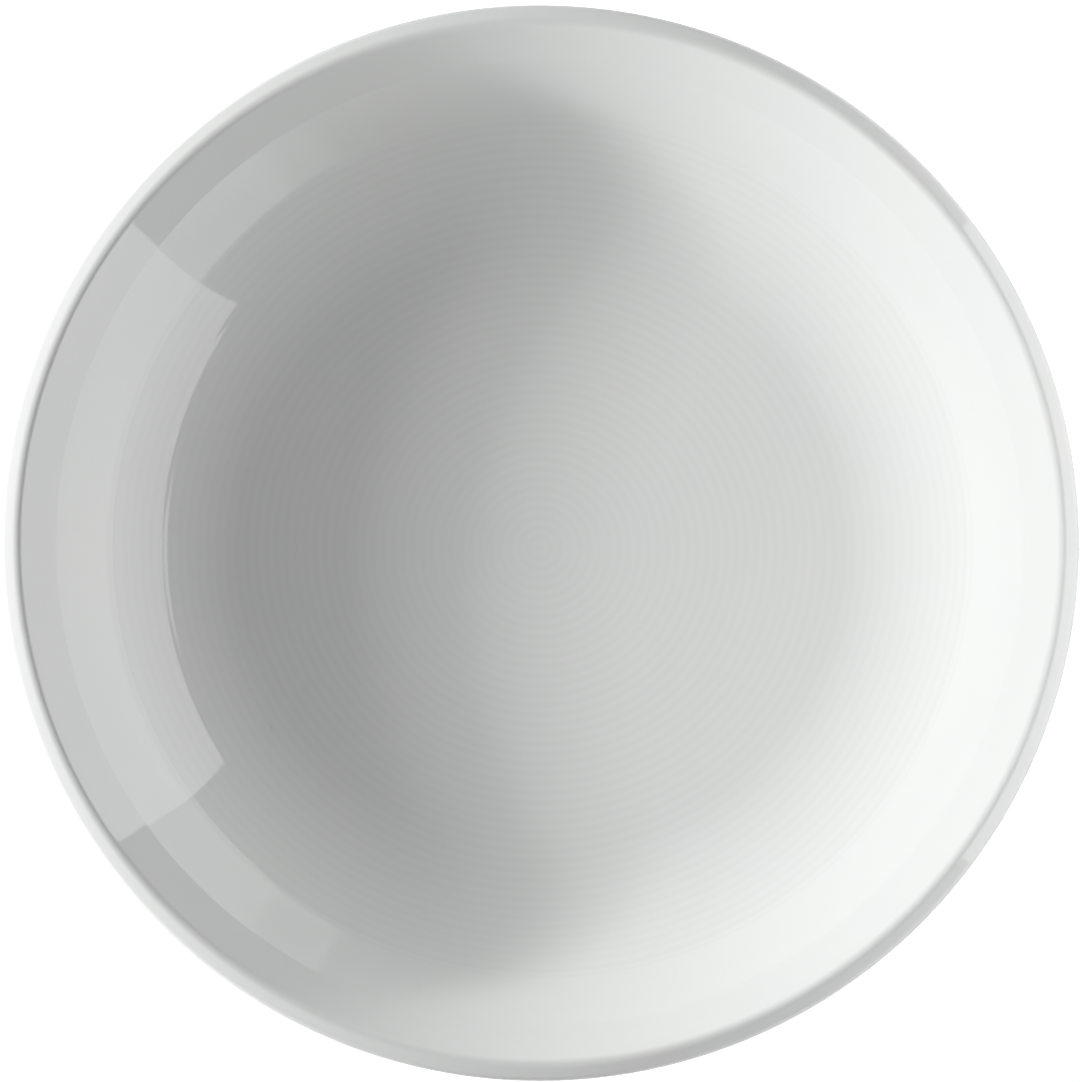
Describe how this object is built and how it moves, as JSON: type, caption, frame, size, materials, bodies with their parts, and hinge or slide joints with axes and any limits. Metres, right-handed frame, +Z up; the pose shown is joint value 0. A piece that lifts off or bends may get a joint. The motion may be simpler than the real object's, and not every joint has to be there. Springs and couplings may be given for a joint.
{
  "type": "soup plate",
  "caption": "Round deep soup plate in white glazed porcelain, with a flat ribbed well, a smooth wall, a creased lip, a rounded rim and a bare foot ring.",
  "frame": {"origin": "centre of the circle that the foot ring stands on, on the table plane", "axes": "+Z up along the plate's turning axis, +X and +Y in the table plane; the plate is the same from every side"},
  "size_m": [0.22, 0.22, 0.0323],
  "materials": {
    "porcelain": "matte unglazed biscuit, seen only on the foot ring",
    "glaze": "high gloss white glaze"
  },
  "bodies": {
    "root": {"porcelain_body": "porcelain", "base_glaze": "glaze", "plate_glaze": "glaze"}
  },
  "joints": []
}
